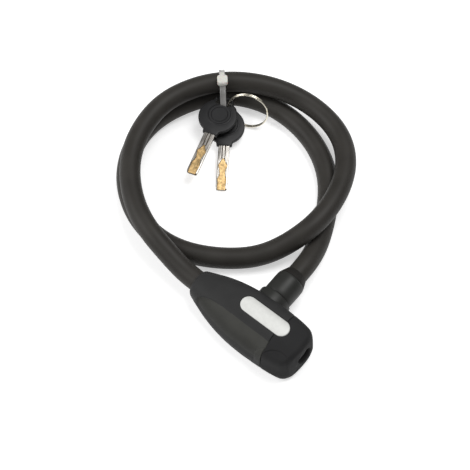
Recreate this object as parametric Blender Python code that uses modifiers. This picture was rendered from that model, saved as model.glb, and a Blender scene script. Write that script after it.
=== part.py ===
"""Keyed cable lock: a coiled sheathed cable, a moulded lock head, a side plug, two keys, a split ring and a tie.

Lengths below are in millimetres and are turned into metres when a mesh is made.
+X runs from the cable's entry to the key face, +Y is the way the plug pulls out, and the lock lies on z = 0.
"""
import math

import bmesh
import bpy
from mathutils import Matrix, Vector

MM = 0.001
GAP = 0.3                      # clearance between neighbouring pieces

# Driving dimensions
CABLE_D = 15.0
CABLE_R = CABLE_D / 2
HEAD_LENGTH = 89.0
HEAD_HEIGHT = 30.0
HEAD_HALF_WIDTH = 20.0
HEAD_MID_Y = -1.9
WALL = 2.6
AXIS_Z = HEAD_HEIGHT / 2
NOSE_X = HEAD_LENGTH / 2
TAIL_X = -HEAD_LENGTH / 2
SEAM_X = 24.0                  # parting line between the shell and the nose cap
BASE_Z = 6.5                   # parting line between the shell and the base cover
TAIL_Y = -1.6                  # centre of the cable where it enters the head

# Lock cylinder
LOCK_Y = 1.2
ROTOR_R = 5.85
HOUSING_R = 9.0
HOUSING_X = (16.0, 41.3)
ROTOR_FACE_X = 41.7
KEYWAY = (9.0, 2.6)
PIN_COUNT = 4
PIN_R = 1.1
PIN_PITCH = 5.0
PIN_FIRST_X = 21.0

# Plug and latch
PLUG_X = 3.8
PIN_END_Y = 0.2
PLUG_PIN_R = 5.0
GROOVE_R = 2.8
GROOVE_Y = (3.5, 8.1)
COLLAR_Y = 21.9
SLEEVE_R = 10.3
SLEEVE_END_Y = 45.5
CAM_RADIUS = 1.6               # distance of the drive pin from the rotor's axis
LATCH_STROKE = CAM_RADIUS * math.sqrt(2)
LATCH_Y = (3.9, 7.7)
LATCH_Z = (6.6, 11.5)          # bottom and top of its foot when it is drawn back
LATCH_ARM_X = (9.7, 11.5)
CAM_X = (11.8, 14.2)
TANG_X = 13.2
DRIVE_PIN_R = 1.0
SPRING_X = 9.3
COVER_Z = (3.7, 4.7)

# Cable, from the head's tail to the plug
ROPE_R = 4.8
ROUTE = (
    (-41.5, -1.6, 15), (-57, -1.6, 15.1), (-75, 1, 18.9), (-92.5, 3.6, 22.9), (-110, 10.5, 23.2),
    (-126, 21.5, 23.2), (-139.5, 35, 23.1), (-149.6, 51.7, 23.1), (-155.4, 71, 23.1), (-156.7, 91.1, 23.3),
    (-150.5, 110, 24.2), (-139, 127.5, 25.5), (-123.5, 141.5, 25.4), (-104, 153.5, 23.4),
    (-81, 160.5, 20.3), (-56.9, 159.6, 18.9), (-35.2, 150.6, 19.2), (-19.1, 132.6, 20.8),
    (-10.9, 111.2, 22.9), (-7.5, 89.9, 24), (-9.5, 71, 22.6), (-17.5, 53.8, 14.8), (-28.7, 38.9, 8.8),
    (-48, 23.1, 7.6), (-71.5, 10.8, 7.6), (-97, 8, 7.6), (-121, 15.5, 7.6), (-141.5, 30.5, 7.6),
    (-155, 51, 7.6), (-160.5, 75, 7.6), (-155.5, 101.5, 8.1), (-138, 131.5, 10), (-109, 147.3, 9.2),
    (-79, 149.5, 7.6), (-50, 141, 7.6), (-27, 124, 7.6), (-11.5, 100, 7.6), (-0.8, 76, 8),
    (3.6, 57.5, 13.9), (3.8, 42.5, 15),
)

# Nylon tie, drawn in the upright plane across the two strands
TIE_CENTRE = (-133.5, 131.3)
TIE_AZIMUTH = -47.3
STRAP_WIDTH = 4.6
STRAP_THICKNESS = 1.2
STRAP_LOOP = (
    (0, 34.8), (6.5, 33.6), (10.2, 28.8), (11.2, 22.5), (14.4, 17), (16.2, 10.5), (14, 4.6), (8, 0.9),
    (2, 0.8), (-5, 1.4), (-9.2, 5.5), (-9.6, 14), (-9.4, 22), (-9.2, 28.5), (-5.8, 33.2),
)

# Keys: both are the same key
KEY_HEAD_R = 14.3
KEY_HEAD_THICKNESS = 4.0
KEY_BLADE = (8.3, 2.4, 35.0)   # width, thickness and visible length
KEY_SLOT = (13.5, 7.6)
KEY_BOSS_AT = 11.8             # from the slot to the middle of the round head
KEY_NECK_AT = 28.0             # from the slot to the end of the neck
KEY_SLOTS = ((-124.2, 121.6, 17.2), (-120.6, 120.4, 11.0))
KEY_AZIMUTHS = (-72.0, -54.0)
KEY_TIPS_Z = (13.0, 1.7)

# Split ring, standing in both key slots
RING_CENTRE = (-107.1, 129.0, 15.9)
RING_R = 15.0
RING_WIRE_R = 0.6
RING_AZIMUTH = 24.0
RING_LEAN = 12.7


def clear_scene():
    for old in list(bpy.data.objects):
        bpy.data.objects.remove(old, do_unlink=True)


def material(name, colour, roughness, metallic=0.0):
    made = bpy.data.materials.new(name)
    made.use_nodes = True
    shader = made.node_tree.nodes["Principled BSDF"]
    shader.inputs["Base Color"].default_value = (*colour, 1.0)
    shader.inputs["Roughness"].default_value = roughness
    shader.inputs["Metallic"].default_value = metallic
    return made


def new_object(name, mesh_or_curve):
    made = bpy.data.objects.new(name, mesh_or_curve)
    bpy.context.scene.collection.objects.link(made)
    return made


def object_from_bmesh(name, shape):
    mesh = bpy.data.meshes.new(name)
    bmesh.ops.recalc_face_normals(shape, faces=shape.faces)
    shape.to_mesh(mesh)
    shape.free()
    return new_object(name, mesh)


def bake(piece):
    """Replace an object's data by its evaluated mesh, so that later cuts start from a plain mesh."""
    bpy.context.view_layer.update()
    evaluated = piece.evaluated_get(bpy.context.evaluated_depsgraph_get())
    mesh = bpy.data.meshes.new_from_object(evaluated)
    shape = bmesh.new()
    shape.from_mesh(mesh)
    bmesh.ops.remove_doubles(shape, verts=shape.verts, dist=1e-6)
    shape.to_mesh(mesh)
    shape.free()
    made = new_object(piece.name + "_baked", mesh)
    made.matrix_world = piece.matrix_world.copy()
    name = piece.name
    bpy.data.objects.remove(piece, do_unlink=True)
    made.name = name
    return made


def combine(target, tool, operation):
    """Join, cut or intersect target with tool, and remove the tool."""
    boolean = target.modifiers.new(operation, "BOOLEAN")
    boolean.operation = operation
    boolean.solver = "EXACT"
    boolean.object = tool
    target = bake(target)
    bpy.data.objects.remove(tool, do_unlink=True)
    return target


def cut(target, *tools):
    for tool in tools:
        target = combine(target, tool, "DIFFERENCE")
    return target


def box(name, low, high, bevel=0.0):
    shape = bmesh.new()
    bmesh.ops.create_cube(shape, size=1.0)
    size = [(b - a) * MM for a, b in zip(low, high)]
    middle = [(a + b) / 2 * MM for a, b in zip(low, high)]
    bmesh.ops.scale(shape, vec=size, verts=shape.verts)
    bmesh.ops.translate(shape, vec=middle, verts=shape.verts)
    if bevel:
        bmesh.ops.bevel(shape, geom=shape.edges[:], offset=bevel * MM, segments=2, profile=0.5, affect="EDGES")
    return object_from_bmesh(name, shape)


def axis_turn(axis):
    """The turn that takes +Z to the named axis."""
    return {"X": Matrix.Rotation(math.pi / 2, 4, "Y"),
            "Y": Matrix.Rotation(-math.pi / 2, 4, "X"),
            "Z": Matrix.Identity(4)}[axis]


def turned(name, profile, axis, centre, segments=32, turn=360.0):
    """Turn (radius, height) points about an axis; heights are true coordinates along it."""
    mesh = bpy.data.meshes.new(name)
    points = [(radius * MM, 0.0, height * MM) for radius, height in profile]
    closed = profile[0][0] > 0
    edges = [(i, i + 1) for i in range(len(points) - 1)]
    if closed:
        edges.append((len(points) - 1, 0))
    mesh.from_pydata(points, edges, [])
    piece = new_object(name, mesh)
    screw = piece.modifiers.new("turn", "SCREW")
    screw.axis = "Z"
    screw.angle = math.radians(turn)
    screw.steps = segments
    screw.render_steps = segments
    screw.use_merge_vertices = True
    screw.merge_threshold = 0.000001
    screw.use_normal_calculate = True
    piece = bake(piece)
    shape = bmesh.new()
    shape.from_mesh(piece.data)
    bmesh.ops.recalc_face_normals(shape, faces=shape.faces)
    shape.to_mesh(piece.data)
    shape.free()
    place = Matrix.Translation(Vector(centre) * MM) @ axis_turn(axis)
    piece.data.transform(place)
    return piece


def rod(name, axis, start, end, radius, centre, segments=32):
    """A solid cylinder from start to end along an axis, through centre."""
    profile = [(0, end), (radius, end), (radius, start), (0, start)]
    return turned(name, profile, axis, centre, segments)


def tube(name, axis, start, end, radius, bore, centre, segments=32):
    profile = [(radius, end), (radius, start), (bore, start), (bore, end)]
    return turned(name, profile, axis, centre, segments)


def wire(name, points, radius, resolution):
    """A round wire or cord through points in millimetres, with closed ends."""
    curve = bpy.data.curves.new(name, "CURVE")
    curve.dimensions = "3D"
    curve.bevel_depth = radius * MM
    curve.bevel_resolution = resolution
    curve.use_fill_caps = True
    spline = curve.splines.new("POLY")
    spline.points.add(len(points) - 1)
    for point, place in zip(spline.points, points):
        point.co = (place[0] * MM, place[1] * MM, place[2] * MM, 1.0)
    return new_object(name, curve)


def plate(name, loops, thickness):
    """A flat plate with the given closed outlines, centred on z = 0 in its own frame."""
    curve = bpy.data.curves.new(name, "CURVE")
    curve.dimensions = "2D"
    curve.fill_mode = "BOTH"
    curve.extrude = thickness / 2 * MM
    for loop in loops:
        spline = curve.splines.new("POLY")
        spline.points.add(len(loop) - 1)
        for point, place in zip(spline.points, loop):
            point.co = (place[0] * MM, place[1] * MM, 0.0, 1.0)
        spline.use_cyclic_u = True
    return bake(new_object(name, curve))


def arc(centre, radius, first, last, steps):
    """Points on an arc, from angle first to angle last in degrees."""
    points = []
    for k in range(steps + 1):
        angle = math.radians(first + (last - first) * k / steps)
        points.append((centre[0] + radius * math.cos(angle), centre[1] + radius * math.sin(angle)))
    return points


def smooth_curve(points, steps, cyclic=False):
    """A cubic B-spline whose control points are the given ones; it starts and ends on the first and last."""
    points = [Vector(p) for p in points]
    if cyclic:
        ring = [points[-1]] + points + points[:2]
    else:
        ring = [2 * points[0] - points[1]] + points + [2 * points[-1] - points[-2]]
    places = []
    for k in range(1, len(ring) - 2):
        a, b, c, d = ring[k - 1:k + 3]
        for step in range(steps):
            t = step / steps
            places.append(((1 - t) ** 3 * a + (3 * t ** 3 - 6 * t * t + 4) * b
                           + (-3 * t ** 3 + 3 * t * t + 3 * t + 1) * c + t ** 3 * d) / 6)
    if not cyclic:
        places.append(points[-1])
    return places


def even_points(places, spacing):
    """Points at equal distances along a finely divided curve, with both ends kept."""
    lengths = [0.0]
    for a, b in zip(places, places[1:]):
        lengths.append(lengths[-1] + (b - a).length)
    count = round(lengths[-1] / spacing)
    chosen = []
    k = 0
    for step in range(count + 1):
        wanted = lengths[-1] * step / count
        while k < len(lengths) - 2 and lengths[k + 1] < wanted:
            k += 1
        share = (wanted - lengths[k]) / (lengths[k + 1] - lengths[k])
        chosen.append(places[k].lerp(places[k + 1], share))
    return chosen


# Outer form of the head: x, half width, half height, and how square the section is on the
# scooped side's top corner and on its other three corners
SHELL_STATIONS = (
    (TAIL_X, 8.9, 8.9, 2.1, 2.1), (-43.0, 10.2, 10.2, 2.1, 2.2), (-36.5, 12.5, 12.0, 2.1, 2.6),
    (-27, 15.4, 13.8, 2.2, 3.2), (-16, 17.8, 14.8, 2.3, 3.8), (-4, 19.4, 15.0, 2.4, 4.2),
    (8, 20.0, 15.0, 2.5, 4.4), (16, 20.0, 15.0, 2.6, 4.4), (21, 19.8, 15.0, 3.2, 4.4),
    (SEAM_X, 19.6, 15.0, 3.9, 4.4),
)
NOSE_STATIONS = (
    (SEAM_X, 19.7, 15.0, 4.2, 4.4), (31, 18.9, 15.0, 4.0, 4.4), (37.5, 17.9, 14.8, 3.8, 4.2),
    (41.5, 16.5, 13.9, 3.5, 3.8), (43.7, 14.6, 12.5, 3.2, 3.4), (NOSE_X, 12.9, 11.2, 3.0, 3.2),
)
SECTION_POINTS = 40
BASE_FLATNESS = 1.04           # the lower half is drawn this much taller, and cut flat at z = 0


def section(station, inset):
    """One closed cross-section of the head, set in from the outer form."""
    x, half_width, half_height, scoop, square = station
    half_width -= inset
    half_height -= inset
    points = []
    for k in range(SECTION_POINTS):
        angle = 2 * math.pi * (k + 0.5) / SECTION_POINTS
        side = math.cos(angle)
        rise = math.sin(angle)
        power = scoop if side < 0 < rise else square
        y = HEAD_MID_Y + half_width * math.copysign(abs(side) ** (2 / power), side)
        z = half_height * math.copysign(abs(rise) ** (2 / power), rise)
        if rise < 0:
            z = max(z * BASE_FLATNESS, -half_height)
        points.append(Vector((x, y, AXIS_Z + z)) * MM)
    return points


def station_at(stations, x):
    """The station at x, between the two stations beside it."""
    for a, b in zip(stations, stations[1:]):
        if a[0] <= x <= b[0]:
            share = (x - a[0]) / (b[0] - a[0])
            return tuple(p + (q - p) * share for p, q in zip(a, b))
    return stations[0] if x < stations[0][0] else stations[-1]


def loft(name, stations, inset=0.0):
    """A closed body through the sections at the stations."""
    shape = bmesh.new()
    rows = [[shape.verts.new(p) for p in section(s, inset)] for s in stations]
    for low, high in zip(rows, rows[1:]):
        for k in range(SECTION_POINTS):
            n = (k + 1) % SECTION_POINTS
            shape.faces.new((low[k], low[n], high[n], high[k]))
    shape.faces.new(list(reversed(rows[0])))
    shape.faces.new(rows[-1])
    return object_from_bmesh(name, shape)


def between(stations, start, end):
    """The stations from start to end, with one made at each of these two."""
    inside = [s for s in stations if start < s[0] < end]
    first = (start,) + station_at(stations, start)[1:]
    last = (end,) + station_at(stations, end)[1:]
    return [first] + inside + [last]


def stadium(centre, length, width, steps=8):
    """A slot-shaped outline about centre, long in x."""
    radius = width / 2
    reach = length / 2 - radius
    right = arc((centre[0] + reach, centre[1]), radius, -90, 90, steps)
    left = arc((centre[0] - reach, centre[1]), radius, 90, 270, steps)
    return right + left


SCREWS = ((-12.0, -12.5), (-12.5, 7.6), (17.0, -13.0), (32.5, -11.6))
SCREW_R = 1.5
SCREW_TOP_Z = 9.0
SCREW_HEAD = (2.7, 0.3, 1.4)   # radius, bottom and top
ANCHOR_SCREWS_X = (-28.0, -20.5)
ANCHOR_SCREW_Z = 5.0
LABEL_CENTRE = (10.0, 1.6)
LABEL_SIZE = (39.0, 12.8)
LABEL_DEPTH = 0.9
FERRULE_R = 7.3


def lock_axis():
    return (0, LOCK_Y, AXIS_Z)


def plug_axis():
    return (PLUG_X, 0, AXIS_Z)


def tail_axis():
    return (0, TAIL_Y, AXIS_Z)


def screw_hole(name, x, y):
    return rod(name + "_hole", "Z", -1, SCREW_TOP_Z + GAP, SCREW_R + GAP, (x, y, 0), 16)


def screw_recess(name, x, y):
    radius, _, high = SCREW_HEAD
    return rod(name + "_recess", "Z", -1, high + GAP, radius + GAP, (x, y, 0), 20)


def cavity(name):
    start, end = TAIL_X + 6.5, NOSE_X - WALL
    rear = between(SHELL_STATIONS, start, SEAM_X)
    front = between(NOSE_STATIONS, SEAM_X + 0.5, end)
    return loft(name, rear + front, WALL)


def label_recess(name):
    tool = plate(name, [stadium(LABEL_CENTRE, LABEL_SIZE[0] + 2 * GAP, LABEL_SIZE[1] + 2 * GAP)], 4.0)
    tool.data.transform(Matrix.Translation((0, 0, (HEAD_HEIGHT - LABEL_DEPTH - GAP + 2.0) * MM)))
    return tool


def make_casing():
    """Upper shell, base cover and nose cap, all from the same outer form."""
    body = loft("upper_shell", between(SHELL_STATIONS, TAIL_X, SEAM_X - GAP / 2))
    body = cut(
        body,
        cavity("room"),
        rod("tail_bore", "X", TAIL_X - 1, TAIL_X + 9, CABLE_R + 0.4, tail_axis(), 36),
        rod("collar_hole", "Y", 8, 24, 12.3, plug_axis(), 36),
    )
    base = new_object("base_cover", body.data.copy())
    body = cut(body, box("below", (-60, -40, -5), (60, 40, BASE_Z + GAP / 2)), label_recess("recess"))
    base = cut(base, box("above", (-60, -40, BASE_Z - GAP / 2), (60, 40, 40)))
    for number, (x, y) in enumerate(SCREWS[:3]):
        base = cut(base, screw_hole(f"base_{number}", x, y), screw_recess(f"base_{number}", x, y))
    nose = loft("nose_cap", between(NOSE_STATIONS, SEAM_X + GAP / 2, NOSE_X))
    nose = cut(
        nose,
        cavity("nose_room"),
        rod("key_opening", "X", NOSE_X - 6, NOSE_X + 1, ROTOR_R, lock_axis(), 36),
        label_recess("nose_recess"),
        screw_hole("nose", *SCREWS[3]),
        screw_recess("nose", *SCREWS[3]),
    )
    return [body, base, nose]


def make_label():
    label = plate("label_plate", [stadium(LABEL_CENTRE, *LABEL_SIZE)], LABEL_DEPTH)
    label.data.transform(Matrix.Translation((0, 0, (HEAD_HEIGHT - LABEL_DEPTH / 2) * MM)))
    return label


def make_lock_body():
    """Die-cast block: cylinder bore, plug socket, latch chamber and the pocket for the cable's end."""
    inset = WALL + 0.5
    rear = between(SHELL_STATIONS, TAIL_X + 8, SEAM_X)
    front = between(NOSE_STATIONS, SEAM_X + 0.5, 39.0)
    block = loft("lock_body", rear + front, inset)
    block = cut(
        block,
        rod("cylinder_bore", "X", 9.4, 42, HOUSING_R + GAP, lock_axis(), 36),
        rod("socket_bore", "Y", PIN_END_Y - 0.6, 24, PLUG_PIN_R + GAP, plug_axis(), 32),
        rod("socket_seat", "Y", 14.0, 24, 12.3, plug_axis(), 36),
        rod("anchor_bore", "X", TAIL_X, -15.5, FERRULE_R + GAP, tail_axis(), 32),
        box("latch_room", (-3.2, LATCH_Y[0] - GAP, 1), (12.4, LATCH_Y[1] + GAP, AXIS_Z)),
        box("cover_room", (-5.3, 1.7, 1), (14.3, 9.9, 5.0)),
        *[screw_hole(f"block_{n}", x, y) for n, (x, y) in enumerate(SCREWS)],
        *[rod(f"grub_{n}", "Z", 1, AXIS_Z - 6, 2.0 + GAP, (x, TAIL_Y, 0), 16)
          for n, x in enumerate(ANCHOR_SCREWS_X)],
    )
    return block


def make_collar():
    """Raised ring round the socket's mouth, standing out of the shell's side."""
    profile = [(11.4, COLLAR_Y), (12.0, COLLAR_Y - 0.8), (12.0, 14.3), (PLUG_PIN_R + GAP, 14.3),
               (PLUG_PIN_R + GAP, 20.9), (PLUG_PIN_R + 1.2, COLLAR_Y)]
    return turned("socket_collar", profile, "Y", plug_axis(), 36)


def make_base_screws():
    """Four casing screws from below, each with a cross-shaped recess left to the surface model."""
    made = []
    radius, low, high = SCREW_HEAD
    for number, (x, y) in enumerate(SCREWS, 1):
        profile = [(0, SCREW_TOP_Z), (SCREW_R, SCREW_TOP_Z), (SCREW_R, high), (radius, high),
                   (radius, low + 0.3), (radius - 0.4, low), (0, low)]
        made.append(turned(f"casing_screw_{number}", profile, "Z", (x, y, 0), 16))
    return made


def make_anchor():
    """Crimped ferrule on the cable's stripped end, and the two grub screws that hold it in the block."""
    ferrule = tube("anchor_ferrule", "X", -41.0, -16.5, FERRULE_R, ROPE_R + GAP, tail_axis(), 32)
    rope = rod("anchor_rope_end", "X", -41.0, -17.5, ROPE_R, tail_axis(), 20)
    low = AXIS_Z - FERRULE_R - GAP
    grubs = [rod(f"anchor_screw_{n}", "Z", ANCHOR_SCREW_Z, low, 2.0, (x, TAIL_Y, 0), 16)
             for n, x in enumerate(ANCHOR_SCREWS_X, 1)]
    return [ferrule, rope] + grubs


def pin_places():
    return [PIN_FIRST_X + PIN_PITCH * k for k in range(PIN_COUNT)]


def make_cylinder():
    """Housing, rotor, key pins, driver pins and their springs, with the pins drawn at the shear line."""
    first, last = HOUSING_X
    housing = tube("cylinder_housing", "X", first, last, HOUSING_R, ROTOR_R + 0.2, lock_axis(), 36)
    rotor_profile = [(0, ROTOR_FACE_X), (5.0, ROTOR_FACE_X), (ROTOR_R - 0.15, ROTOR_FACE_X - 0.6),
                     (ROTOR_R - 0.15, first), (4.2, first), (4.2, 14.5), (0, 14.5)]
    rotor = turned("key_rotor", rotor_profile, "X", lock_axis(), 36)
    rotor = combine(rotor, box("tang", (TANG_X, LOCK_Y - 2.3, AXIS_Z - 2.3), (15.5, LOCK_Y + 2.3, AXIS_Z + 2.3)),
                    "UNION")
    half_width, half_height = KEYWAY[0] / 2, KEYWAY[1] / 2
    rotor = cut(rotor, box("keyway", (first + 1.5, LOCK_Y - half_width, AXIS_Z - half_height),
                           (NOSE_X, LOCK_Y + half_width, AXIS_Z + half_height)))
    parts = []
    for number, x in enumerate(pin_places(), 1):
        centre = (x, LOCK_Y, AXIS_Z)
        housing = cut(housing, rod("chamber", "Z", 4.0, 12.0, PIN_R + 0.2, centre, 16))
        rotor = cut(rotor, rod("rotor_chamber", "Z", 0, 8, PIN_R + 0.2, centre, 16))
        key_pin = [(0, 5.5), (PIN_R, 5.5), (PIN_R, 2.2), (0.35, 1.5), (0, 1.5)]
        driver = [(0, 7.3), (PIN_R, 7.3), (PIN_R, 6.15), (0, 6.15)]
        parts.append(turned(f"key_pin_{number}", key_pin, "Z", centre, 12))
        parts.append(turned(f"driver_pin_{number}", driver, "Z", centre, 12))
        parts.append(make_spring(f"driver_spring_{number}", centre, 7.6, 8.8, 0.75, 0.16, 2.2, 8))
    clip = tube("rotor_clip", "X", 14.7, 15.7, 7.0, 4.35, lock_axis(), 24)
    return [housing, rotor, clip] + parts


def make_spring(name, centre, low, high, radius, wire_radius, turns, steps):
    """A compression spring standing along Z; low and high are heights above centre."""
    points = []
    total = round(turns * steps)
    for k in range(total + 1):
        angle = 2 * math.pi * k / steps
        height = low + wire_radius + (high - low - 2 * wire_radius) * k / total
        points.append((centre[0] + radius * math.cos(angle), centre[1] + radius * math.sin(angle),
                       centre[2] + height))
    return wire(name, points, wire_radius, 0)


def make_cam():
    """Drive cam on the rotor's tang, with the off-centre pin that lifts the latch."""
    cam = rod("drive_cam", "X", CAM_X[0], CAM_X[1], 5.5, lock_axis(), 28)
    cam = cut(cam, box("tang_hole", (TANG_X - GAP, LOCK_Y - 2.6, AXIS_Z - 2.6), (15, LOCK_Y + 2.6, AXIS_Z + 2.6)))
    across, up = drive_pin_offset()
    centre = (0, LOCK_Y + across, AXIS_Z + up)
    return combine(cam, rod("drive_pin", "X", LATCH_ARM_X[0] + 0.2, CAM_X[0] + 0.5, DRIVE_PIN_R, centre, 16),
                   "UNION")


def drive_pin_offset():
    """Where the cam's pin stands at rest: below the axis, on the +Y side."""
    return CAM_RADIUS / math.sqrt(2), -CAM_RADIUS / math.sqrt(2)


def make_latch():
    """Latch bolt: a foot under the plug pin, hollowed to clear it, and an arm in front of the cam."""
    clear_r = PLUG_PIN_R + 0.35
    foot = box("latch_bolt", (-2.6, LATCH_Y[0], LATCH_Z[0]), (LATCH_ARM_X[1], LATCH_Y[1], LATCH_Z[1]))
    arm = box("arm", (LATCH_ARM_X[0], -3.4, LATCH_Z[0] + 1), (LATCH_ARM_X[1], LATCH_Y[1] - 0.5, AXIS_Z + 3.4))
    latch = combine(foot, arm, "UNION")
    across, up = drive_pin_offset()
    slot_r = DRIVE_PIN_R + GAP
    slot = plate("slot", [stadium((LOCK_Y + across + 0.25, AXIS_Z + up), 2 * slot_r + 1.1, 2 * slot_r)], 8.0)
    slot.data.transform(Matrix(((0, 0, 1, LATCH_ARM_X[0] * MM), (1, 0, 0, 0), (0, 1, 0, 0), (0, 0, 0, 1))))
    return cut(
        latch,
        slot,
        rod("pin_clearance", "Y", LATCH_Y[0] - 1, LATCH_Y[1] + 1, clear_r, plug_axis(), 40),
        rod("spring_pocket", "Z", LATCH_Z[0] - 1, 10.0, 1.7, (SPRING_X, sum(LATCH_Y) / 2, 0), 16),
    )


def make_latch_cover():
    """Plate that closes the latch chamber from below and carries the spring."""
    cover = box("latch_cover_plate", (-5.0, 2.0, COVER_Z[0]), (14.0, 9.6, COVER_Z[1]))
    spring = make_spring("latch_spring", (SPRING_X, sum(LATCH_Y) / 2, 0), COVER_Z[1] + 0.15, 9.85, 1.15, 0.22, 5, 8)
    return [cover, spring]


def make_plug():
    """Grooved pin with its crimp barrel, the plastic sleeve, the end ring and the stripped rope end."""
    pin_profile = [
        (0, PIN_END_Y), (3.2, PIN_END_Y), (PLUG_PIN_R, PIN_END_Y + 1.8), (PLUG_PIN_R, GROOVE_Y[0]),
        (GROOVE_R, GROOVE_Y[0]), (GROOVE_R, GROOVE_Y[1]), (PLUG_PIN_R, GROOVE_Y[1]), (PLUG_PIN_R, COLLAR_Y + 0.4),
        (8.0, COLLAR_Y + 0.4), (8.0, 40.4), (ROPE_R + GAP, 40.4), (ROPE_R + GAP, 25.0), (0, 25.0),
    ]
    pin = turned("plug_pin", list(reversed(pin_profile)), "Y", plug_axis(), 32)
    sleeve_profile = [
        (SLEEVE_R, 39.0), (SLEEVE_R + 0.2, 24.5), (SLEEVE_R + 0.1, 22.6), (SLEEVE_R - 0.6, COLLAR_Y + 0.4),
        (8.3, COLLAR_Y + 0.4), (8.3, 39.0),
    ]
    sleeve = turned("plug_sleeve", sleeve_profile, "Y", plug_axis(), 36)
    ring_profile = [
        (8.6, SLEEVE_END_Y), (9.4, 44.5), (10.0, 42.6), (SLEEVE_R, 40.6), (SLEEVE_R, 39.3), (8.3, 39.3),
        (8.3, 40.7), (CABLE_R + 0.4, 40.7), (CABLE_R + 0.4, SLEEVE_END_Y),
    ]
    ring = turned("plug_end_ring", ring_profile, "Y", plug_axis(), 36)
    rope = rod("plug_rope_end", "Y", 25.3, 41.8, ROPE_R, plug_axis(), 20)
    return [pin, sleeve, ring, rope]


def make_cable():
    """The sheathed cable; a short first and last stretch keeps its ends square to the head and the plug."""
    places = smooth_curve(ROUTE, 24)
    points = even_points(places, 2 * CABLE_D)
    near_ends = even_points(places, CABLE_D / 3)
    points = [points[0], near_ends[1]] + points[1:-1] + [near_ends[-2], points[-1]]
    return wire("cable", points, CABLE_R, 4)


def upright_frame(centre, azimuth):
    """A frame whose x runs level at an azimuth, whose y is up, and whose z is level across them."""
    along = Vector((math.cos(math.radians(azimuth)), math.sin(math.radians(azimuth)), 0))
    up = Vector((0, 0, 1))
    across = along.cross(up)
    frame = Matrix((along, up, across)).transposed().to_4x4()
    frame.translation = Vector((centre[0], centre[1], 0)) * MM
    return frame


def make_tie():
    """Nylon tie: a closed strap round both strands, its ratchet head, and the cut tail."""
    middle = smooth_curve([(s, z, 0) for s, z in STRAP_LOOP], 3, cyclic=True)
    loops = []
    for side in (STRAP_THICKNESS / 2, -STRAP_THICKNESS / 2):
        loop = []
        for k, place in enumerate(middle):
            ahead = middle[(k + 1) % len(middle)] - middle[k - 1]
            normal = Vector((ahead.y, -ahead.x, 0)).normalized()
            loop.append(tuple(place + normal * side))
        loops.append(loop)
    tie = plate("zip_tie", loops, STRAP_WIDTH)
    head = box("tie_head", (-3.9, -2.6, -3.9), (3.9, 2.9, 3.9), 1.0)
    head.data.transform(Matrix.Translation(Vector((5.0, 34.7, 0)) * MM) @ Matrix.Rotation(math.radians(-17), 4, "Z"))
    tail = box("tie_tail", (-9.5, -0.6, -1.9), (0, 0.6, 1.9), 0.2)
    tail.data.transform(Matrix.Translation(Vector((3.8, 36.3, 0)) * MM) @ Matrix.Rotation(math.radians(4), 4, "Z"))
    tie = combine(tie, head, "UNION")
    tie = combine(tie, tail, "UNION")
    tie.data.transform(upright_frame(TIE_CENTRE, TIE_AZIMUTH))
    return tie


def key_outline():
    """Outline of a key's head in its own frame: x runs from the slot towards the tip."""
    neck = 5.7
    top = -(KEY_SLOT[1] / 2 + 1.9)
    shoulder = arc((top + 5.0, 2.6), 5.0, 110, 180, 4)
    side = arc((KEY_BOSS_AT, 0), KEY_HEAD_R, 134, 38, 12)
    upper = [(KEY_NECK_AT, 0)] + [(KEY_NECK_AT, neck), (KEY_NECK_AT - 3.4, neck + 0.3)] + side[::-1]
    upper += shoulder
    lower = [(x, -y) for x, y in reversed(upper[1:])]
    return upper + lower


def key_frame(slot, azimuth, tip_z):
    """Place of a key: the origin is its slot, x points at its tip, and it slopes down to the tip."""
    run = KEY_NECK_AT + KEY_BLADE[2]
    slope = math.asin((slot[2] - tip_z) / run)
    turn = Matrix.Rotation(math.radians(azimuth), 4, "Z") @ Matrix.Rotation(slope, 4, "Y")
    return Matrix.Translation(Vector(slot) * MM) @ turn


def make_key(number):
    """A key's moulded head, with its slot and round boss, and the steel blade that is set into it."""
    place = key_frame(KEY_SLOTS[number], KEY_AZIMUTHS[number], KEY_TIPS_Z[number])
    name = f"key_{number + 1}"
    slot = [(y, x) for x, y in stadium((0, 0), KEY_SLOT[0], KEY_SLOT[1])]
    head = plate(name + "_head", [key_outline()], KEY_HEAD_THICKNESS)
    width, thickness, length = KEY_BLADE
    root = KEY_NECK_AT - 9.0
    pocket = box("pocket", (root, -width / 2 - GAP, -thickness / 2 - GAP), (50, width / 2 + GAP, thickness / 2 + GAP))
    head = cut(head, plate("slot", [slot], 12.0), pocket)
    tip = KEY_NECK_AT + length
    outline = [(root + GAP, -width / 2), (tip - 1.6, -width / 2), (tip, -width / 2 + 1.6),
               (tip, width / 2 - 1.6), (tip - 1.6, width / 2), (root + GAP, width / 2)]
    blade = plate(name + "_blade", [outline], thickness)
    groove = thickness / 2 - 0.5
    for side in (-1.3, 1.3):
        blade = cut(blade, box("groove", (KEY_NECK_AT - 2, side - 0.45, groove), (KEY_NECK_AT + 12, side + 0.45, 5)))
    for piece in (head, blade):
        piece.data.transform(place)
    return [head, blade]


def make_ring():
    """Split ring: nearly two turns of wire, standing in the slots of both keys."""
    azimuth = math.radians(RING_AZIMUTH)
    along = Vector((math.cos(azimuth), math.sin(azimuth), 0))
    lean = Matrix.Rotation(math.radians(RING_LEAN), 3, -along)
    up = lean @ Vector((0, 0, 1))
    across = along.cross(up)
    steps = 26
    turns = 1.9
    side = RING_WIRE_R + 0.08
    points = []
    for k in range(round(steps * turns) + 1):
        angle = 2 * math.pi * k / steps + math.radians(50)
        shift = side * max(-1.0, min(1.0, 0.4 * (k - steps * turns / 2)))
        points.append(Vector(RING_CENTRE) + RING_R * (math.cos(angle) * along + math.sin(angle) * up)
                      + shift * across)
    return wire("split_ring", points, RING_WIRE_R, 1)


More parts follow.
